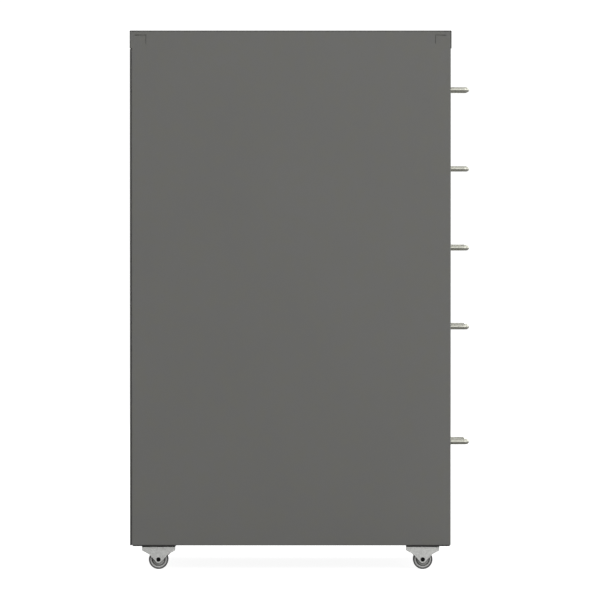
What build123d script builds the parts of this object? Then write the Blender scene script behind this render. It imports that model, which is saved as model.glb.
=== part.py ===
"""Rolling tool chest: a folded steel case on four fixed casters, with five drawers on three-member slides.

Millimetres. X runs across the case, the drawers open towards -Y, +Z is up. The origin is on the floor, at the
middle of the whole chest's length from the handles' noses to the rear flange of the top cover."""

from build123d import *
import os

os.makedirs("parts", exist_ok=True)

# ---- Case ----
width = 300.0
depth = 402.0  # over the front and rear flanges of the top cover
height = 673.5
sheet = 0.8  # all case and drawer sheet
bend = 1.2  # outer bend radius of that sheet
handle_reach = 25.0  # handle nose, in front of the case
side_bottom = 30.0
band = 22.0  # flanges of the top cover
jamb = 10.0  # front flange of a side panel, beside the drawers
jamb_return = 12.0
rear_flange = 14.0
bottom_flange = 8.5
back_inset = 4.0  # back panel, from the outside of the side panels
back_hem_width = 14.0
back_gap = 1.0  # below the top cover's rear flange
weld_radius = 2.5
weld_depth = 0.15
weld_pitch = 75.0
weld_count = 8
kick_top = 57.5
kick_tab_depth = 8.0
kick_tab_height = 12.6

y_rear = (depth + handle_reach) / 2
y_front = y_rear - depth
lap = 0.1  # room behind the front flange of the top cover
y_face = y_front + sheet + lap  # drawer faces and front edges of the side panels
hem = 2.3  # folded edge of the back panel
y_back = y_rear - hem  # outside of the side panels' rear flanges, where the back panel lies
x_side = width / 2
x_in = x_side - sheet
z_roof = height - sheet
corner_gap = 0.3  # from each side panel's corner tab to the top cover's rear flange
corner_relief = 0.5  # keeps a sheet's edge clear of the round inside of its neighbour's bend
past = 1.0  # how far a cut runs beyond the surface that it opens

# ---- Relief slot round the corner tab of each side panel ----
slot_width = 0.7
slot_below_top = 5.7
slot_in = 20.5  # from the end of the case to the upright leg
slot_start = 6.4
relief_radius = 0.7  # hole at each end of the top cover's bends
slot_leg_end = 16.4  # lower end of the upright leg, below the top

# ---- Base and casters ----
rail_width = 54.0
rail_height = 15.0
rail_sheet = 1.0
rail_bottom = side_bottom - rail_sheet
rail_bend = 2.0
rail_inset = 1.3  # from the front edges of the side panels, and the same at the rear
rail_half_length = 139.5
tongue_end = 148.6  # flat end of a rail, under the side panel
pan_bottom = rail_bottom + rail_height
pan_flange = 17.0
wheel_radius = 12.2
wheel_width = 14.0
hub_width = 16.4
hub_radius = 5.0
hub_chamfer = 0.4
hub_draft = 0.6
web_half = 5.2
web_radius = 7.3
groove_half = 2.2  # floor of the groove between the web and the rim
groove_radius = 8.4
rim_inner = 8.8
tread_chamfer = 1.2
axle_radius = 2.2
axle_bore = 1.2
axle_bore_depth = 1.5
axle_clearance = 0.05
caster_x = 135.0
caster_inset = 35.7  # axle, from the front or rear of the case
plate_half = 20.7
bracket_width = 20.0
bracket_sheet = 1.2
bracket_bend = 1.8
bracket_shoulder = 11.2  # lower end of the leg's upright edges, above the axle
bracket_waist = 6.2  # corner halfway down the leg, above the axle
waist_half = 11.5
ear_radius = 4.3
ear_drop = 1.5  # depth of the leg's point below the axle, in ear radii, before it is rounded
caster_hole_pitch = 30.0
caster_hole = 2.15
screw_shank = 1.95

# ---- Slides ----
slide_length = 350.0
slide_front = -172.0
slide_x = 138.8  # back of the outer member, on the posts
slide_thickness = 12.7
slide_height = 35.0
slide_sheet = 1.2
post_y = 150.0
post_web = 24.0
post_foot = 8.0
post_bottom = 64.5
post_top = 648.5
post_hole = 2.1
post_slot_offset = 12.0
post_slot_length = 10.0
post_slot_width = 3.2

# ---- Drawers, from the top one down ----
front_half = x_side - jamb - 1.5
front_return = 12.0
drawer_gap = 2.0
small_front = 98.0
pitch = small_front + drawer_gap
small_count = 4
top_gap = 2.5  # from the top cover's flange to the first front
first_top = height - band - top_gap
last_top = first_top - small_count * pitch
last_front = last_top - kick_top - drawer_gap
tray_half = slide_x - slide_thickness
tray_rear = 180.0
tray_lift = 8.0  # tray floor above the lower edge of its front
small_wall = 70.0
last_wall = 156.0
hem_width = 2.2
hem_height = 3.0
small_slide_height = 38.0  # slide centre above the lower edge of the front
last_slide_height = 62.0
front_corner = 1.0
front_round = 0.9
tray_corner = 1.6
hem_round = 1.0

# ---- Handles ----
handle_pitch = 64.0
handle_lift = 0.8  # above the middle of the front
grip_height = 7.0
grip_depth = 6.0
grip_nose = 4.0  # length of the elliptical nose within the grip's depth
grip_turn = 3.4  # centre-line radius of the corner
grip_round = 0.9
screw_radius = 1.45
screw_hole = 1.5
screw_hole_depth = 9.0
screw_passage = 1.7
screw_reach = 8.0
pan_radius = 2.9
pan_height = 2.0
pan_round = 0.7
cross_length = 3.4
cross_width = 0.7


def save(piece, label):
    """Names a finished piece and writes it."""
    piece.part.label = label
    export_step(piece.part, f"parts/{label}.step")


def folded(points, plane, thickness, side, radius=bend):
    """Section of a folded sheet: its outer line through the points, thickened to one side."""
    with BuildSketch(plane) as section:
        with BuildLine():
            FilletPolyline(*points, radius=radius)
            offset(amount=thickness, side=side)
        make_face()
    return section.sketch


def case_side(hand):
    """Side panel, hand -1 on the left and 1 on the right, with flanges at the front, the rear and the foot."""
    outline = [
        (hand * (x_side - jamb), y_face + jamb_return),
        (hand * (x_side - jamb), y_face),
        (hand * x_side, y_face),
        (hand * x_side, y_back),
        (hand * (x_side - rear_flange), y_back),
    ]
    inner = Side.RIGHT if hand < 0 else Side.LEFT
    reach = slot_in - slot_start
    drop = slot_leg_end - slot_below_top
    with BuildPart() as panel:
        section = folded(outline, Plane.XY.offset(side_bottom + bend), sheet, inner)
        extrude(section, amount=z_roof - corner_relief - side_bottom - bend)
        foot = [
            (hand * x_side, side_bottom + 2 * bend),
            (hand * x_side, side_bottom),
            (hand * (x_side - bottom_flange), side_bottom),
        ]
        foot_side = Side.LEFT if hand < 0 else Side.RIGHT
        foot_rear = y_back - corner_relief
        section = folded(foot, Plane.XZ.offset(-foot_rear), sheet, foot_side)
        extrude(section, amount=foot_rear - y_face - corner_relief)
        # Beside the top cover's rear flange the corner isn't folded: it runs straight on as a tab.
        notch = rear_flange + past
        with BuildSketch(Plane.XY.offset(height - band)):
            with Locations((hand * (x_side + past - notch / 2), y_back - bend + notch / 2)):
                Rectangle(notch + past, notch)
        extrude(amount=band, mode=Mode.SUBTRACT)
        tab_end = y_rear - sheet - corner_gap
        with BuildSketch(Plane.XY.offset(height - band)):
            with Locations((hand * (x_in + sheet / 2), (y_back - bend + tab_end) / 2)):
                Rectangle(sheet, tab_end - y_back + bend)
        extrude(amount=band - sheet - corner_relief)
        for end, inwards in ((y_front, 1), (y_rear, -1)):
            level = height - slot_below_top
            with BuildSketch(Plane.YZ.offset(hand * (x_side + past))):
                with Locations((end + inwards * (slot_start + reach / 2), level)):
                    Rectangle(reach, slot_width)
                with Locations((end + inwards * (slot_in - slot_width / 2), level - drop / 2)):
                    Rectangle(slot_width, drop)
            extrude(amount=-hand * (sheet + 1.5 * past), mode=Mode.SUBTRACT)
    return panel


for name, hand in (("left", -1), ("right", 1)):
    save(case_side(hand), f"side_panel_{name}")

# Top cover: flat roof with a front and a rear flange outside the case, and two side flanges inside it.
roof_line = [
    (y_front, height - band),
    (y_front, height),
    (y_rear, height),
    (y_rear, height - band),
]
with BuildPart() as top_cover:
    extrude(folded(roof_line, Plane.YZ.offset(-x_side), sheet, Side.RIGHT), amount=width)
    for hand in (-1, 1):
        with BuildSketch(Plane.XY.offset(z_roof)):
            with Locations((hand * (x_in - sheet / 2), (y_front + y_rear) / 2)):
                Rectangle(sheet, depth - 2 * jamb_return)
        extrude(amount=sheet - band)
        with BuildSketch(Plane.YZ.offset(hand * x_side)):
            with Locations((y_front + sheet, height - sheet), (y_rear - sheet, height - sheet)):
                Circle(relief_radius)
        extrude(amount=-hand * (sheet + past), mode=Mode.SUBTRACT)
save(top_cover, "top_cover")

# Back panel: sheet with hemmed edges on the side panels' rear flanges, and spot welds down both edges.
back_half = x_side - back_inset
back_top = height - band - back_gap
back_line = [
    (-back_half + back_hem_width, y_back),
    (-back_half, y_back),
    (-back_half, y_rear),
    (back_half, y_rear),
    (back_half, y_back),
    (back_half - back_hem_width, y_back),
]
weld_x = x_side - (rear_flange + back_inset) / 2
with BuildPart() as back_panel:
    section = folded(back_line, Plane.XY.offset(side_bottom), sheet, Side.RIGHT, hem / 2 - 0.05)
    extrude(section, amount=back_top - side_bottom)
    with BuildSketch(Plane.XZ.offset(-y_rear)):
        with Locations((0, (side_bottom + back_top) / 2)):
            with GridLocations(2 * weld_x, weld_pitch, 2, weld_count):
                Circle(weld_radius)
    extrude(amount=weld_depth, mode=Mode.SUBTRACT)
save(back_panel, "back_panel")

# Base pan: floor of the case, with a flange up each side panel.
pan_line = [
    (-x_in, pan_bottom + pan_flange),
    (-x_in, pan_bottom),
    (x_in, pan_bottom),
    (x_in, pan_bottom + pan_flange),
]
pan_front = y_face + jamb_return + corner_relief
pan_rear = y_back - sheet - corner_relief
with BuildPart() as base_pan:
    # Plane.XZ faces -Y, so its offset is the distance towards the front.
    extrude(folded(pan_line, Plane.XZ.offset(-pan_rear), sheet, Side.LEFT), amount=pan_rear - pan_front)
save(base_pan, "base_pan")

# Kick rail: closes the front under the bottom drawer, with a return above and a tab at each end.
kick_half = x_side - jamb - 0.1
kick_line = [
    (y_face + jamb_return - 1.0, kick_top),
    (y_face, kick_top),
    (y_face, side_bottom),
]
with BuildPart() as kick_rail:
    extrude(folded(kick_line, Plane.YZ.offset(-kick_half), sheet, Side.LEFT), amount=2 * kick_half)
    for hand in (-1, 1):
        with BuildSketch(Plane.YZ.offset(hand * kick_half)):
            with Locations((y_face + bend + kick_tab_depth / 2, kick_top - (sheet + kick_tab_height) / 2)):
                Rectangle(kick_tab_depth, kick_tab_height)
        extrude(amount=-hand * sheet)
save(kick_rail, "kick_rail")


# ---- Caster rails and casters ----
def caster_rail(middle, holes_y):
    """Channel across the underside that carries two casters, open upwards, with a tongue at each end."""
    line = [
        (middle - rail_width / 2, pan_bottom),
        (middle - rail_width / 2, rail_bottom),
        (middle + rail_width / 2, rail_bottom),
        (middle + rail_width / 2, pan_bottom),
    ]
    with BuildPart() as rail:
        extrude(
            folded(line, Plane.YZ.offset(-rail_half_length), rail_sheet, Side.LEFT, rail_bend),
            amount=2 * rail_half_length,
        )
        with BuildSketch(Plane.XY.offset(rail_bottom)):
            with Locations((0, middle)):
                with GridLocations(tongue_end + rail_half_length, 0, 2, 1):
                    Rectangle(tongue_end - rail_half_length, rail_width)
        extrude(amount=rail_sheet)
        with BuildSketch(Plane.XY.offset(rail_bottom - past)):
            with Locations((-caster_x, holes_y), (caster_x, holes_y)):
                with GridLocations(0, caster_hole_pitch, 1, 2):
                    Circle(caster_hole)
        extrude(amount=rail_sheet + 2 * past, mode=Mode.SUBTRACT)
    return rail


caster_y = {"front": y_front + caster_inset, "rear": y_rear - caster_inset}
rail_y = {
    "front": y_face + rail_inset + rail_width / 2,
    "rear": y_back - rail_inset - rail_width / 2,
}
for end in ("front", "rear"):
    save(caster_rail(rail_y[end], caster_y[end]), f"caster_rail_{end}")


def caster_bracket(x, y):
    """Folded fork: a plate with a leg down each side, tapering to a round ear about the axle."""
    fork = [
        (x - bracket_width / 2, 0),
        (x - bracket_width / 2, rail_bottom),
        (x + bracket_width / 2, rail_bottom),
        (x + bracket_width / 2, 0),
    ]
    shoulder = wheel_radius + bracket_shoulder
    waist = wheel_radius + bracket_waist
    with BuildPart() as bracket:
        extrude(
            folded(fork, Plane.XZ.offset(-(y + plate_half)), bracket_sheet, Side.RIGHT, bracket_bend),
            amount=2 * plate_half,
        )
        with BuildSketch(Plane.YZ.offset(x - bracket_width)):
            with BuildLine():
                Polyline(
                    (y - plate_half, rail_bottom + past),
                    (y - plate_half, shoulder),
                    (y - waist_half, waist),
                    (y, wheel_radius - ear_radius * ear_drop),
                    (y + waist_half, waist),
                    (y + plate_half, shoulder),
                    (y + plate_half, rail_bottom + past),
                    close=True,
                )
            make_face()
            tip = vertices().sort_by(Axis.Y)[0]
            fillet(tip, radius=ear_radius)
        extrude(amount=2 * bracket_width, mode=Mode.INTERSECT)
        with BuildSketch(Plane.YZ.offset(x - bracket_width)):
            with Locations((y, wheel_radius)):
                Circle(axle_radius + axle_clearance)
        extrude(amount=2 * bracket_width, mode=Mode.SUBTRACT)
        with BuildSketch(Plane.XY.offset(rail_bottom - bracket_sheet - past)):
            with Locations((x, y)):
                with GridLocations(0, caster_hole_pitch, 1, 2):
                    Circle(caster_hole)
        extrude(amount=bracket_sheet + 2 * past, mode=Mode.SUBTRACT)
    return bracket


def caster_wheel(x, y):
    """Moulded wheel with a recessed web, turned about its axle."""
    half = wheel_width / 2
    with BuildPart() as wheel:
        with BuildSketch(Plane(origin=(x, y, wheel_radius), x_dir=(1, 0, 0), z_dir=(0, -1, 0))) as section:
            with BuildLine():
                Polyline(
                    (-hub_width / 2, axle_radius + axle_clearance),
                    (-hub_width / 2, hub_radius - hub_chamfer),
                    (-hub_width / 2 + hub_chamfer, hub_radius),
                    (-web_half, hub_radius + hub_draft),
                    (-web_half, web_radius),
                    (-groove_half, web_radius + hub_draft),
                    (-groove_half, groove_radius),
                    (-half, rim_inner),
                    (-half, wheel_radius - tread_chamfer),
                    (-half + tread_chamfer, wheel_radius),
                    (half - tread_chamfer, wheel_radius),
                    (half, wheel_radius - tread_chamfer),
                    (half, rim_inner),
                    (groove_half, groove_radius),
                    (groove_half, web_radius + hub_draft),
                    (web_half, web_radius),
                    (web_half, hub_radius + hub_draft),
                    (hub_width / 2 - hub_chamfer, hub_radius),
                    (hub_width / 2, hub_radius - hub_chamfer),
                    (hub_width / 2, axle_radius + axle_clearance),
                    close=True,
                )
            make_face()
        revolve(axis=Axis((x, y, wheel_radius), (1, 0, 0)))
    return wheel


for end in ("front", "rear"):
    for name, hand in (("left", -1), ("right", 1)):
        save(caster_bracket(hand * caster_x, caster_y[end]), f"caster_bracket_{end}_{name}")
        save(caster_wheel(hand * caster_x, caster_y[end]), f"caster_wheel_{end}_{name}")

caster_places = [(hand * caster_x, caster_y[end]) for end in ("front", "rear") for hand in (-1, 1)]

# Axles: rivets across each fork, with a flat rim and a blind hollow at both ends.
rim_radius = 2.7
rim_width = 0.7
with BuildPart() as caster_axles:
    for x, y in caster_places:
        for hand in (-1, 1):
            with BuildSketch(Plane.YZ.offset(x)):
                with Locations((y, wheel_radius)):
                    Circle(axle_radius)
            extrude(amount=hand * (bracket_width / 2 + rim_width))
            with BuildSketch(Plane.YZ.offset(x + hand * bracket_width / 2)):
                with Locations((y, wheel_radius)):
                    Circle(rim_radius)
            extrude(amount=hand * rim_width)
            with BuildSketch(Plane.YZ.offset(x + hand * (bracket_width / 2 + rim_width))):
                with Locations((y, wheel_radius)):
                    Circle(axle_bore)
            extrude(amount=-hand * axle_bore_depth, mode=Mode.SUBTRACT)
save(caster_axles, "caster_axles")

# Screws up through each plate and rail, with a cross in the head and a hexagon nut inside the rail.
head_radius = 3.5
head_height = 2.0
head_cross_depth = 1.2
head_cross_length = 4.0
head_cross_width = 0.9
shank_length = 8.4
nut_radius = 4.0
nut_height = 3.2
plate_under = rail_bottom - bracket_sheet
caster_screw_places = [(x, y + step * caster_hole_pitch / 2) for x, y in caster_places for step in (-1, 1)]
with BuildPart() as caster_screws:
    for x, y in caster_screw_places:
        with BuildSketch(Plane.XY.offset(plate_under - head_height)):
            with Locations((x, y)):
                Circle(head_radius)
                Rectangle(head_cross_length, head_cross_width, mode=Mode.SUBTRACT)
                Rectangle(head_cross_width, head_cross_length, mode=Mode.SUBTRACT)
        extrude(amount=head_cross_depth)
        with BuildSketch(Plane.XY.offset(plate_under - head_height + head_cross_depth)):
            with Locations((x, y)):
                Circle(head_radius)
        extrude(amount=head_height - head_cross_depth)
        with BuildSketch(Plane.XY.offset(plate_under)):
            with Locations((x, y)):
                Circle(screw_shank)
        extrude(amount=shank_length)
save(caster_screws, "caster_screws")

with BuildPart() as caster_nuts:
    with BuildSketch(Plane.XY.offset(rail_bottom + rail_sheet)):
        with Locations(*caster_screw_places):
            RegularPolygon(radius=nut_radius, side_count=6)
            Circle(screw_shank + axle_clearance, mode=Mode.SUBTRACT)
    extrude(amount=nut_height)
save(caster_nuts, "caster_nuts")

# ---- Drawer places ----
fronts = [(first_top - number * pitch - small_front, small_front) for number in range(small_count)]
fronts.append((last_top - last_front, last_front))
slides_z = [low + small_slide_height for low, tall in fronts[:small_count]]
slides_z.append(fronts[small_count][0] + last_slide_height)
walls = [small_wall] * small_count + [last_wall]


# ---- Posts ----
def post(hand, middle):
    """Hat-section upright on the side panel, whose web carries the slides."""
    foot_x = hand * (x_in - sheet)
    web_x = hand * slide_x
    line = [
        (foot_x, middle - post_web / 2 - post_foot),
        (foot_x, middle - post_web / 2),
        (web_x, middle - post_web / 2),
        (web_x, middle + post_web / 2),
        (foot_x, middle + post_web / 2),
        (foot_x, middle + post_web / 2 + post_foot),
    ]
    wall_side = Side.LEFT if hand < 0 else Side.RIGHT
    with BuildPart() as upright:
        extrude(folded(line, Plane.XY.offset(post_bottom), sheet, wall_side), amount=post_top - post_bottom)
        with BuildSketch(Plane.YZ.offset(web_x - past)):
            with Locations(*[(middle, z) for z in slides_z]):
                Circle(post_hole)
                with GridLocations(0, 2 * post_slot_offset, 1, 2):
                    SlotOverall(post_slot_length, post_slot_width)
        extrude(amount=2 * past, mode=Mode.SUBTRACT)
    return upright


for end, middle in (("front", -post_y), ("rear", post_y)):
    for name, hand in (("left", -1), ("right", 1)):
        save(post(hand, middle), f"post_{end}_{name}")


# ---- Slides: each node holds the left and the right member of one drawer ----
def members(web_x, lip_x, half, z, lip=0, hole_radius=0):
    """Left and right C-section members: web_x is the web's back, lip_x the open side, half the half height."""
    with BuildPart() as pair:
        for hand in (-1, 1):
            line = [
                (hand * lip_x, z + half),
                (hand * web_x, z + half),
                (hand * web_x, z - half),
                (hand * lip_x, z - half),
            ]
            if lip:
                line.insert(0, (hand * lip_x, z + half - lip))
                line.append((hand * lip_x, z - half + lip))
            side = Side.LEFT if hand * (lip_x - web_x) > 0 else Side.RIGHT
            rear_end = Plane.XZ.offset(-(slide_front + slide_length))
            section = folded(line, rear_end, slide_sheet, side, slide_sheet)
            extrude(section, amount=slide_length)
        if hole_radius:
            with BuildSketch(Plane.YZ.offset(-x_side)):
                with Locations((-post_y, z), (post_y, z)):
                    Circle(hole_radius)
            extrude(amount=width, mode=Mode.SUBTRACT)
    return pair


outer_depth = 9.5
middle_web_x = slide_x - slide_sheet - 1.6
middle_lip_x = slide_x - 10.4
inner_web_x = tray_half
inner_lip_x = tray_half + 7.4
middle_half = 13.0
inner_half = 8.6
outer_lip = 2.6
for number, z in enumerate(slides_z, start=1):
    outer = members(slide_x, slide_x - outer_depth, slide_height / 2, z, outer_lip, post_hole)
    save(outer, f"slide_outer_{number}")
    save(members(middle_web_x, middle_lip_x, middle_half, z), f"slide_middle_{number}")
    save(members(inner_web_x, inner_lip_x, inner_half, z), f"slide_inner_{number}")

# Screws that hold the outer members to the posts, with flat heads inside the slides.
slide_head_radius = 3.6
slide_head_height = 0.9
slide_shank_length = 7.0
with BuildPart() as slide_screws:
    for hand in (-1, 1):
        face_x = hand * (slide_x - slide_sheet)
        places = [(y, z) for y in (-post_y, post_y) for z in slides_z]
        with BuildSketch(Plane.YZ.offset(face_x)):
            with Locations(*places):
                Circle(slide_head_radius)
        extrude(amount=-hand * slide_head_height)
        with BuildSketch(Plane.YZ.offset(face_x)):
            with Locations(*places):
                Circle(screw_shank)
        extrude(amount=hand * slide_shank_length)
save(slide_screws, "slide_screws")


# ---- Drawers ----
def drawer_front(low, tall, handle_z):
    """Folded pan: a face with a return along each edge, open at the back."""
    middle = low + tall / 2
    with BuildPart() as front:
        with BuildSketch(Plane.XZ.offset(-(y_face + front_return))):
            with Locations((0, middle)):
                RectangleRounded(2 * front_half, tall, front_corner)
        extrude(amount=front_return)
        fillet(front.faces().sort_by(Axis.Y)[0].edges(), radius=front_round)
        with BuildSketch(Plane.XZ.offset(-(y_face + front_return))):
            with Locations((0, middle)):
                Rectangle(2 * (front_half - sheet), tall - 2 * sheet)
        extrude(amount=front_return - sheet, mode=Mode.SUBTRACT)
        with BuildSketch(Plane.XZ.offset(-(y_face + front_return))):
            with Locations((0, handle_z)):
                with GridLocations(handle_pitch, 0, 2, 1):
                    Circle(screw_passage)
        extrude(amount=front_return + past, mode=Mode.SUBTRACT)
    return front


def drawer_tray(low, wall, handle_z):
    """Open box with rolled top edges, fixed behind the face of its front."""
    tray_front = y_face + sheet
    length = tray_rear - tray_front
    middle_y = (tray_rear + tray_front) / 2
    floor_z = low + tray_lift
    with BuildPart() as tray:
        with BuildSketch(Plane.XY.offset(floor_z)):
            with Locations((0, middle_y)):
                RectangleRounded(2 * tray_half, length, tray_corner)
        extrude(amount=wall)
        with BuildSketch(Plane.XY.offset(floor_z + wall - hem_height)):
            with Locations((0, middle_y)):
                Rectangle(2 * (tray_half + hem_width), length - 2 * front_return)
        extrude(amount=hem_height)
        hem_edges = tray.edges().filter_by(Axis.Y).group_by(Axis.X)
        fillet(hem_edges[0] + hem_edges[-1], radius=hem_round)
        with BuildSketch(Plane.XY.offset(floor_z + sheet)):
            with Locations((0, middle_y)):
                RectangleRounded(2 * (tray_half - sheet), length - 2 * sheet, tray_corner - sheet)
        extrude(amount=wall, mode=Mode.SUBTRACT)
        with BuildSketch(Plane.XZ.offset(-(tray_front + 2 * sheet))):
            with Locations((0, handle_z)):
                with GridLocations(handle_pitch, 0, 2, 1):
                    Circle(screw_passage)
        extrude(amount=3 * sheet, mode=Mode.SUBTRACT)
    return tray


def handle(z):
    """Bow pull: a D-section bar with its round side outwards, turned back to the face at both ends."""
    half = handle_pitch / 2
    reach_y = y_front - handle_reach + grip_depth / 2
    flat = grip_depth / 2
    with BuildPart() as pull:
        with BuildLine():
            FilletPolyline((-half, y_face, z), (-half, reach_y, z), (half, reach_y, z), (half, y_face, z),
                           radius=grip_turn)
        with BuildSketch(Plane(origin=(-half, y_face, z), x_dir=(-1, 0, 0), z_dir=(0, -1, 0))):
            with BuildLine():
                nose_centre = (flat - grip_nose, 0)
                nose = EllipticalCenterArc(nose_centre, grip_nose, grip_height / 2, -90, arc_size=180)
                Polyline(nose @ 1, (-flat, grip_height / 2), (-flat, -grip_height / 2), nose @ 0)
            make_face()
            fillet(vertices().group_by(Axis.X)[-1], radius=grip_round)
        sweep()
        with BuildSketch(Plane.XZ.offset(-y_face)):
            with Locations((0, z)):
                with GridLocations(handle_pitch, 0, 2, 1):
                    Circle(screw_hole)
        extrude(amount=screw_hole_depth, mode=Mode.SUBTRACT)
    return pull


def handle_screws(z):
    """Two pan-head screws from inside the tray, through tray and face into the handle's legs."""
    head_y = y_face + 2 * sheet
    with BuildPart() as screws:
        with BuildSketch(Plane.XZ.offset(-(head_y + pan_height))):
            with Locations((0, z)):
                with GridLocations(handle_pitch, 0, 2, 1):
                    Circle(pan_radius)
        extrude(amount=pan_height)
        fillet(screws.edges().group_by(Axis.Y)[-1], radius=pan_round)
        with BuildSketch(Plane.XZ.offset(-(head_y + pan_height))):
            with Locations((0, z)):
                with GridLocations(handle_pitch, 0, 2, 1):
                    Rectangle(cross_length, cross_width)
                    Rectangle(cross_width, cross_length)
        extrude(amount=pan_height / 2, mode=Mode.SUBTRACT)
        with BuildSketch(Plane.XZ.offset(-head_y)):
            with Locations((0, z)):
                with GridLocations(handle_pitch, 0, 2, 1):
                    Circle(screw_radius)
        extrude(amount=2 * sheet + screw_reach)
    return screws


for number, ((low, tall), wall) in enumerate(zip(fronts, walls), start=1):
    handle_z = low + tall / 2 + handle_lift
    save(drawer_front(low, tall, handle_z), f"drawer_front_{number}")
    save(drawer_tray(low, wall, handle_z), f"drawer_tray_{number}")
    save(handle(handle_z), f"handle_{number}")
    save(handle_screws(handle_z), f"handle_screws_{number}")
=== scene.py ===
"""Rolling tool chest: looks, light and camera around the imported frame. Metres."""

import math

import bmesh
import bpy
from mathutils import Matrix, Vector


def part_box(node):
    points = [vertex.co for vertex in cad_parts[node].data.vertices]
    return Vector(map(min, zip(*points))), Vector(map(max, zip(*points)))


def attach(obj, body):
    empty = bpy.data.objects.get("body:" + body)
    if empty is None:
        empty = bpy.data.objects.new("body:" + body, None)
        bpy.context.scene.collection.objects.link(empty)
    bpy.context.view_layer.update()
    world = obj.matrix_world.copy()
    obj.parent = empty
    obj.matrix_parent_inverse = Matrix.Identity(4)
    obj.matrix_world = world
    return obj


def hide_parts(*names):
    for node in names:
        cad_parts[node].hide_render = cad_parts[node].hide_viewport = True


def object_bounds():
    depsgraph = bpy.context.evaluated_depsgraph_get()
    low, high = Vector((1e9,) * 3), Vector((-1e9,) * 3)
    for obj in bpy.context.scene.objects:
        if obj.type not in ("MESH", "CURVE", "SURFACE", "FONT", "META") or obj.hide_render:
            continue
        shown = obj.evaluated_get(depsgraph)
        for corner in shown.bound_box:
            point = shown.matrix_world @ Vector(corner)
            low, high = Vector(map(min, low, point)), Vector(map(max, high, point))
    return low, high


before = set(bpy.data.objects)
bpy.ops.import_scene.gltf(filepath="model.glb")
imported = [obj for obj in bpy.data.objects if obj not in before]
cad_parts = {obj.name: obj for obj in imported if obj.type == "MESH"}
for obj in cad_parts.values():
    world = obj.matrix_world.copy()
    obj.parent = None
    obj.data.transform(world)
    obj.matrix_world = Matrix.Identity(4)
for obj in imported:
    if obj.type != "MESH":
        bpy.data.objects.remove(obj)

CAD_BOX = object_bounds()

# ---- Colours, linear ----
CASE_GREY = (0.156, 0.156, 0.149)
CASE_WORN = (0.30, 0.30, 0.29)
# Near-black on the caster rails is painted shade: it stands in for the shade under the side panels'
# bottom edge.
RAIL_SHADE_BLACK = (0.012, 0.012, 0.012)
RAIL_WORN = (0.09, 0.09, 0.09)
NICKEL = (0.60, 0.60, 0.53)
ZINC = (0.56, 0.57, 0.55)
BRACKET = (0.84, 0.845, 0.82)
# Near-black on the axles is painted shade: it stands in for the shade inside the hollow rivet's bore.
AXLE_SHADE_BLACK = (0.020, 0.020, 0.020)
TREAD = (0.10, 0.10, 0.099)
RIM = (0.58, 0.58, 0.57)
WEB = (0.42, 0.42, 0.41)

# ---- Wheel pieces ----
MM = 0.001
TREAD_DEPTH = 1.9 * MM
TREAD_HALF = 7.0 * MM  # half the width of tread and rim
TREAD_ROUND = 0.7 * MM
RIM_INNER = 8.8 * MM  # radius at the sides
RIM_WAIST = 8.4 * MM  # radius in the middle
RIM_WAIST_HALF = 2.6 * MM
RIM_ROUND = 0.35 * MM
BORE = 2.25 * MM
HUB_RADIUS = 4.6 * MM
HUB_FOOT = 5.2 * MM  # radius where the hub meets the web
WEB_HALF = 5.2 * MM
WEB_RADIUS = 7.3 * MM
WEB_FOOT = 7.7 * MM
GROOVE_HALF = 2.2 * MM
GROOVE_RADIUS = 8.45 * MM  # a little into the rim
HUB_ROUND = 0.3 * MM


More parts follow.
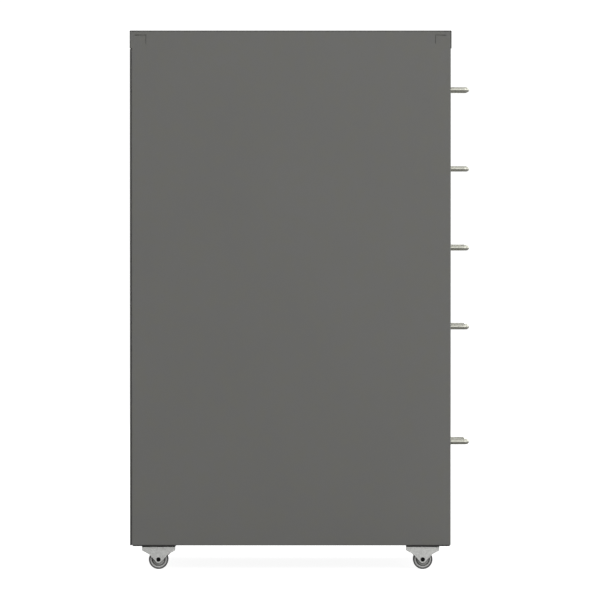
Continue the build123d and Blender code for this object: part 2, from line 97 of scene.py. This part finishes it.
# ---- Node helpers ----
class Tree:
    """A material's node tree, with short calls for the nodes that every finish here uses."""

    def __init__(self, name):
        self.material = bpy.data.materials.new(name)
        self.material.use_nodes = True
        self.nodes = self.material.node_tree.nodes
        self.links = self.material.node_tree.links
        self.shader = self.nodes["Principled BSDF"]
        self.place = self.nodes.new("ShaderNodeTexCoord").outputs["Object"]

    def link(self, output, target):
        self.links.new(output, target)

    def noise(self, scale, detail=3.0, roughness=0.55, stretch=None):
        """Noise value, scale in cells to a metre."""
        node = self.nodes.new("ShaderNodeTexNoise")
        node.inputs["Scale"].default_value = scale
        node.inputs["Detail"].default_value = detail
        node.inputs["Roughness"].default_value = roughness
        source = self.place
        if stretch:
            mapping = self.nodes.new("ShaderNodeMapping")
            mapping.inputs["Scale"].default_value = stretch
            self.link(self.place, mapping.inputs["Vector"])
            source = mapping.outputs["Vector"]
        self.link(source, node.inputs["Vector"])
        return node.outputs["Fac"]

    def cells(self, scale):
        """Distance and colour of Voronoi cells."""
        node = self.nodes.new("ShaderNodeTexVoronoi")
        node.inputs["Scale"].default_value = scale
        self.link(self.place, node.inputs["Vector"])
        return node.outputs

    def span(self, value, low, high, start=0.3, end=0.7):
        """value, from start to end, mapped to low..high."""
        node = self.nodes.new("ShaderNodeMapRange")
        node.inputs["From Min"].default_value = start
        node.inputs["From Max"].default_value = end
        node.inputs["To Min"].default_value = low
        node.inputs["To Max"].default_value = high
        self.link(value, node.inputs["Value"])
        return node.outputs["Result"]

    def maths(self, operation, first, second):
        """Math node; either side may be a number."""
        node = self.nodes.new("ShaderNodeMath")
        node.operation = operation
        for side, socket in ((first, node.inputs[0]), (second, node.inputs[1])):
            if isinstance(side, (int, float)):
                socket.default_value = side
            else:
                self.link(side, socket)
        return node.outputs["Value"]

    def mix(self, amount, first, second):
        """Colour mix; first and second are colours or outputs."""
        node = self.nodes.new("ShaderNodeMix")
        node.data_type = "RGBA"
        for side, socket in ((first, node.inputs["A"]), (second, node.inputs["B"])):
            if isinstance(side, tuple):
                socket.default_value = (*side, 1.0)
            else:
                self.link(side, socket)
        self.link(amount, node.inputs["Factor"])
        return node.outputs["Result"]

    def edges(self, radius, start=0.02, end=0.25):
        """1 along bends and edges within radius, 0 on flat ground."""
        bevel = self.nodes.new("ShaderNodeBevel")
        bevel.samples = 4
        bevel.inputs["Radius"].default_value = radius
        geometry = self.nodes.new("ShaderNodeNewGeometry")
        dot = self.nodes.new("ShaderNodeVectorMath")
        dot.operation = "DOT_PRODUCT"
        self.link(bevel.outputs["Normal"], dot.inputs[0])
        self.link(geometry.outputs["Normal"], dot.inputs[1])
        return self.span(self.maths("SUBTRACT", 1.0, dot.outputs["Value"]), 0.0, 1.0, start, end)

    def crevice(self, reach):
        """Mask for painted shade: 1 deep in a slot or seam within reach, 0 on open ground."""
        shade = self.nodes.new("ShaderNodeAmbientOcclusion")
        shade.samples = 8
        shade.inputs["Distance"].default_value = reach
        return self.span(shade.outputs["AO"], 1.0, 0.0, 0.25, 0.85)

    def bump(self, *heights):
        """Bumps in a row; each is (height output, distance in metres, strength)."""
        normal = None
        for height, distance, strength in heights:
            node = self.nodes.new("ShaderNodeBump")
            node.inputs["Distance"].default_value = distance
            node.inputs["Strength"].default_value = strength
            self.link(height, node.inputs["Height"])
            if normal:
                self.link(normal, node.inputs["Normal"])
            normal = node.outputs["Normal"]
        self.link(normal, self.shader.inputs["Normal"])

    def colour(self, output):
        self.link(output, self.shader.inputs["Base Color"])

    def rough(self, output):
        self.link(output, self.shader.inputs["Roughness"])

    def set(self, **values):
        for name, value in values.items():
            self.shader.inputs[name.replace("_", " ")].default_value = value


# ---- Finishes ----
def powder_coat(name, base, worn, rough=0.52):
    """Fine-textured powder coat: sub-millimetre grain, a faint cloudiness, thin coat on the bends, and
    painted shade in slots and seams.
    """
    tree = Tree(name)
    grain = tree.noise(1500, 2.0)
    peel = tree.noise(330, 2.0)
    cloud = tree.noise(9, 4.0)
    speck = tree.span(tree.noise(2600, 1.0), 0.0, 1.0, 0.42, 0.72)
    light = tuple(c * 1.02 for c in base)
    dark = tuple(c * 0.98 for c in base)
    shaded = tree.mix(tree.span(cloud, 0.0, 1.0), dark, light)
    warm = tuple(c * tint for c, tint in zip(base, (1.02, 1.015, 0.93)))
    drift = tree.span(tree.noise(70, 4.0, 0.6), 0.0, 1.0, 0.44, 0.62)
    ground = tree.mix(tree.maths("MULTIPLY", drift, 0.6), shaded, warm)
    speckled = tree.mix(tree.maths("MULTIPLY", speck, 0.10), ground, worn)
    patchy = tree.span(tree.noise(55, 5.0, 0.7), 0.0, 1.0, 0.48, 0.66)
    wear = tree.maths("MULTIPLY", tree.maths("MULTIPLY", tree.edges(0.0009), patchy), 0.45)
    shaded_base = tuple(c * 0.4 for c in base)
    # Painted shade: the colour is darkened deep in slots and seams, where shade falls.
    crevice_painted_shade = tree.mix(tree.maths("MULTIPLY", tree.crevice(0.0015), 0.6), speckled, shaded_base)
    tree.colour(tree.mix(wear, crevice_painted_shade, worn))
    spread = tree.span(cloud, rough - 0.03, rough + 0.03)
    tree.rough(tree.maths("ADD", spread, tree.span(grain, -0.05, 0.05)))
    tree.bump((peel, 0.00010, 0.35), (grain, 0.00006, 0.5))
    tree.set(Specular_IOR_Level=0.45)
    return tree.material


def plated(name, base, rough, grain_scale, stretch=None, shade=0.06, relief=0.00001):
    """Plated metal: brushed or tumbled grain, faint tarnish clouds and a painted highlight on the edges.
    """
    tree = Tree(name)
    cloud = tree.noise(60, 4.0)
    grain = tree.noise(grain_scale, 3.0, 0.6, stretch)
    light = tuple(min(1.0, c * (1 + shade)) for c in base)
    dark = tuple(c * (1 - shade) for c in base)
    ground = tree.mix(tree.span(cloud, 0.0, 1.0), dark, light)
    # Painted highlight: the colour is lightened along edges and bends.
    edge_highlight = tuple(min(1.0, c * 1.25) for c in base)
    tree.colour(tree.mix(tree.maths("MULTIPLY", tree.edges(0.0005), 0.5), ground, edge_highlight))
    spread = tree.span(grain, rough - 0.06, rough + 0.06)
    tree.rough(tree.maths("ADD", spread, tree.span(cloud, -0.03, 0.03)))
    tree.bump((grain, relief, 0.5))
    tree.set(Metallic=1.0)
    return tree.material


def zinc_plate(name, base, rough):
    """Zinc-plated steel: small crystals in the plate under fine rolling lines."""
    tree = Tree(name)
    crystal = tree.cells(900)["Color"]
    lines = tree.noise(40, 3.0, 0.6, (60.0, 1.0, 60.0))
    light = tuple(min(1.0, c * 1.08) for c in base)
    dark = tuple(c * 0.90 for c in base)
    tone = tree.nodes.new("ShaderNodeRGBToBW")
    tree.link(crystal, tone.inputs["Color"])
    tree.colour(tree.mix(tree.span(tone.outputs["Val"], 0.0, 1.0, 0.1, 0.9), dark, light))
    spread = tree.span(tone.outputs["Val"], rough - 0.05, rough + 0.05, 0.1, 0.9)
    tree.rough(tree.maths("ADD", spread, tree.span(lines, -0.04, 0.04)))
    tree.bump((lines, 0.00002, 0.4))
    tree.set(Metallic=1.0)
    return tree.material


def moulded(name, base, rough, scuff=None):
    """Moulded plastic: spark-eroded grain, and scuffs where it rolls or rubs."""
    tree = Tree(name)
    grain = tree.noise(2200, 2.0)
    cloud = tree.noise(120, 4.0)
    light = tuple(c * 1.12 for c in base)
    dark = tuple(c * 0.9 for c in base)
    ground = tree.mix(tree.span(cloud, 0.0, 1.0), dark, light)
    if scuff:
        marks = tree.span(tree.noise(420, 6.0, 0.75), 0.0, 0.55, 0.52, 0.70)
        ground = tree.mix(marks, ground, scuff)
    tree.colour(ground)
    tree.rough(tree.span(grain, rough - 0.07, rough + 0.07))
    tree.bump((grain, 0.00004, 0.5), (cloud, 0.00006, 0.2))
    return tree.material


def paint(material, *names):
    """Gives CAD nodes a material."""
    for name in names:
        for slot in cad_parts[name].material_slots:
            slot.material = material


NODES = list(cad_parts)
case_paint = powder_coat("case_powder_coat", CASE_GREY, CASE_WORN)
front_paint = powder_coat("drawer_powder_coat", CASE_GREY, CASE_WORN, 0.50)
nickel = plated("handle_nickel", NICKEL, 0.42, 900, (1.0, 1.0, 8.0), 0.03, 0.000004)
slide_zinc = zinc_plate("slide_zinc", ZINC, 0.32)
bracket_zinc = zinc_plate("bracket_zinc", BRACKET, 0.42)
screw_zinc = plated("screw_zinc", ZINC, 0.30, 1500)
# Painted shade: the axle ends are coloured near-black for the shade in the rivet bore.
axle_black = plated("axle_black", AXLE_SHADE_BLACK, 0.45, 1500, None, 0.2)
# Painted shade: the caster rails are coloured near-black for the shade under the side panels.
rail_shade_paint = powder_coat("rail_black", RAIL_SHADE_BLACK, RAIL_WORN, 0.45)
tread_plastic = moulded("wheel_tread", TREAD, 0.55, (0.20, 0.197, 0.19))
rim_plastic = moulded("wheel_rim", RIM, 0.42)
web_plastic = moulded("wheel_web", WEB, 0.5)

for name in NODES:
    if name.startswith("drawer_"):
        paint(front_paint, name)
    elif name.startswith("slide_") and name != "slide_screws":
        paint(slide_zinc, name)
    elif name.startswith("handle_") and "screws" not in name:
        paint(nickel, name)
    elif name.startswith("caster_bracket"):
        paint(bracket_zinc, name)
    elif name == "caster_axles":
        paint(axle_black, name)
    elif "screws" in name or "nuts" in name:
        paint(screw_zinc, name)
    elif name.startswith("caster_rail"):
        paint(rail_shade_paint, name)
    else:
        paint(case_paint, name)


# ---- Turned pieces ----
def mesh_piece(name, build, material, body, smooth_angle=35.0):
    """Makes a mesh object with bmesh, shades it and rides it on a body."""
    mesh = bpy.data.meshes.new(name)
    bm = bmesh.new()
    build(bm)
    bmesh.ops.remove_doubles(bm, verts=bm.verts, dist=1e-7)
    bmesh.ops.recalc_face_normals(bm, faces=bm.faces)
    bm.to_mesh(mesh)
    bm.free()
    mesh.polygons.foreach_set("use_smooth", [True] * len(mesh.polygons))
    mesh.set_sharp_from_angle(angle=math.radians(smooth_angle))
    mesh.materials.append(material)
    piece = bpy.data.objects.new(name, mesh)
    bpy.context.scene.collection.objects.link(piece)
    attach(piece, body)
    return piece


def turned(profile, centre, steps=96):
    """Builder of a ring: a closed profile of (x, radius) turned about X through centre."""
    def build(bm):
        rings = []
        for step in range(steps):
            turn = 2 * math.pi * step / steps
            cos, sin = math.cos(turn), math.sin(turn)
            rings.append([bm.verts.new(centre + Vector((x, r * cos, r * sin))) for x, r in profile])
        for step in range(steps):
            this, after = rings[step], rings[(step + 1) % steps]
            for i in range(len(profile)):
                j = (i + 1) % len(profile)
                bm.faces.new((this[i], this[j], after[j], after[i]))
    return build


def rounded(points, radius, steps=4):
    """Closed profile with every corner rounded by a quadratic curve."""
    out = []
    for i, point in enumerate(points):
        before, here, after = Vector(points[i - 1]), Vector(point), Vector(points[(i + 1) % len(points)])
        cut = min(radius, (here - before).length * 0.45, (after - here).length * 0.45)
        start = here + (before - here).normalized() * cut
        end = here + (after - here).normalized() * cut
        for step in range(steps + 1):
            t = step / steps
            out.append(start * (1 - t) ** 2 + here * 2 * t * (1 - t) + end * t * t)
    return [(p.x, p.y) for p in out]


def mirrored(half):
    """Closed profile of (x, radius) from its left half and the mirror image of that."""
    return half + [(-x, r) for x, r in reversed(half)]


def wheel(name):
    """Tread, rim and hub with its web, in place of one wheel of the frame."""
    low, high = (Vector(corner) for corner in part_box(name))
    centre = (low + high) / 2
    place = name.replace("caster_wheel_", "")
    body = f"wheel_{place}"
    radius = (high.z - low.z) / 2
    hub_half = (high.x - low.x) / 2
    bed = radius - TREAD_DEPTH
    tread_line = mirrored([(-TREAD_HALF, bed), (-TREAD_HALF, radius)])
    tread = mesh_piece(f"tread_{place}", turned(rounded(tread_line, TREAD_ROUND), centre),
                       tread_plastic, body)
    rim_line = mirrored([(-RIM_WAIST_HALF, RIM_WAIST), (-TREAD_HALF, RIM_INNER), (-TREAD_HALF, bed)])
    mesh_piece(f"rim_{place}", turned(rounded(rim_line, RIM_ROUND), centre), rim_plastic, body)
    hub_outside = [
        (-hub_half, BORE), (-hub_half, HUB_RADIUS), (-WEB_HALF, HUB_FOOT), (-WEB_HALF, WEB_RADIUS),
        (-GROOVE_HALF, WEB_FOOT), (-GROOVE_HALF, GROOVE_RADIUS),
    ]
    mesh_piece(f"hub_{place}", turned(rounded(mirrored(hub_outside), HUB_ROUND), centre),
               web_plastic, body)
    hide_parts(name)


for name in NODES:
    if name.startswith("caster_wheel"):
        wheel(name)


# ---- Floor, light and camera ----
def sky():
    """White to the camera, softer and darker towards the floor for everything else."""
    world = bpy.data.worlds.new("studio")
    bpy.context.scene.world = world
    world.use_nodes = True
    nodes, links = world.node_tree.nodes, world.node_tree.links
    nodes.clear()
    seen = nodes.new("ShaderNodeLightPath").outputs["Is Camera Ray"]
    direction = nodes.new("ShaderNodeTexCoord").outputs["Generated"]
    split = nodes.new("ShaderNodeSeparateXYZ")
    links.new(direction, split.inputs["Vector"])
    ramp = nodes.new("ShaderNodeMapRange")
    ramp.inputs["From Min"].default_value = -0.4
    ramp.inputs["From Max"].default_value = 0.9
    ramp.inputs["To Min"].default_value = 0.30
    ramp.inputs["To Max"].default_value = 0.75
    links.new(split.outputs["Z"], ramp.inputs["Value"])
    lit = nodes.new("ShaderNodeBackground")
    links.new(ramp.outputs["Result"], lit.inputs["Strength"])
    white = nodes.new("ShaderNodeBackground")
    white.inputs["Color"].default_value = (1.0, 1.0, 1.0, 1.0)
    white.inputs["Strength"].default_value = 1.1
    mix = nodes.new("ShaderNodeMixShader")
    out = nodes.new("ShaderNodeOutputWorld")
    links.new(seen, mix.inputs[0])
    links.new(lit.outputs[0], mix.inputs[1])
    links.new(white.outputs[0], mix.inputs[2])
    links.new(mix.outputs[0], out.inputs["Surface"])


def floor():
    """Plain pale floor: near white to the camera, with only a trace of shadow."""
    bpy.ops.mesh.primitive_plane_add(size=40.0, location=(0, 0, 0))
    plane = bpy.context.object
    plane.name = "studio_floor"
    material = bpy.data.materials.new("pale_floor")
    material.use_nodes = True
    nodes, links = material.node_tree.nodes, material.node_tree.links
    nodes.clear()
    seen = nodes.new("ShaderNodeLightPath").outputs["Is Camera Ray"]
    glow = nodes.new("ShaderNodeEmission")
    glow.inputs["Color"].default_value = (1.0, 1.0, 1.0, 1.0)
    glow.inputs["Strength"].default_value = 0.93
    matt = nodes.new("ShaderNodeBsdfDiffuse")
    matt.inputs["Color"].default_value = (0.30, 0.30, 0.30, 1)
    both = nodes.new("ShaderNodeAddShader")
    mix = nodes.new("ShaderNodeMixShader")
    out = nodes.new("ShaderNodeOutputMaterial")
    links.new(glow.outputs[0], both.inputs[0])
    links.new(matt.outputs[0], both.inputs[1])
    links.new(seen, mix.inputs[0])
    links.new(matt.outputs[0], mix.inputs[1])
    links.new(both.outputs[0], mix.inputs[2])
    links.new(mix.outputs[0], out.inputs["Surface"])
    plane.data.materials.append(material)


def softbox(name, place, aim, size, power):
    """Square area light turned towards a point."""
    data = bpy.data.lights.new(name, "AREA")
    data.shape = "RECTANGLE"
    data.size, data.size_y = size
    data.energy = power
    lamp = bpy.data.objects.new(name, data)
    lamp.location = place
    lamp.rotation_euler = (Vector(aim) - Vector(place)).to_track_quat("-Z", "Y").to_euler()
    bpy.context.scene.collection.objects.link(lamp)


sky()
floor()
low, high = (Vector(corner) for corner in CAD_BOX)
middle = (low + high) / 2
softbox("key", (-3.6, -2.2, 2.6), middle, (5.0, 4.6), 138)
softbox("front_fill", (1.2, -3.6, 1.6), middle, (3.4, 2.8), 60)
softbox("rear_fill", (1.6, 3.4, 1.8), middle, (3.4, 2.8), 60)
softbox("right_fill", (3.8, -0.4, 2.0), middle, (3.4, 2.8), 60)

EYE_HEIGHT = 0.5005
EYE_DISTANCE = 8.45  # from the near side panel
AIM_HEIGHT = 0.33695
FIELD = 0.7497  # seen width at the near side panel
camera_data = bpy.data.cameras.new("camera")
camera_data.sensor_width = 36.0
camera = bpy.data.objects.new("camera", camera_data)
aim = Vector((low.x, middle.y + 0.0008, AIM_HEIGHT))
camera.location = (low.x - EYE_DISTANCE, aim.y, EYE_HEIGHT)
camera.rotation_euler = (aim - camera.location).to_track_quat("-Z", "Y").to_euler()
camera_data.lens = camera_data.sensor_width * (aim - camera.location).length / FIELD
bpy.context.scene.collection.objects.link(camera)
bpy.context.scene.camera = camera
bpy.context.scene.view_settings.view_transform = "Standard"
bpy.context.scene.view_settings.look = "None"
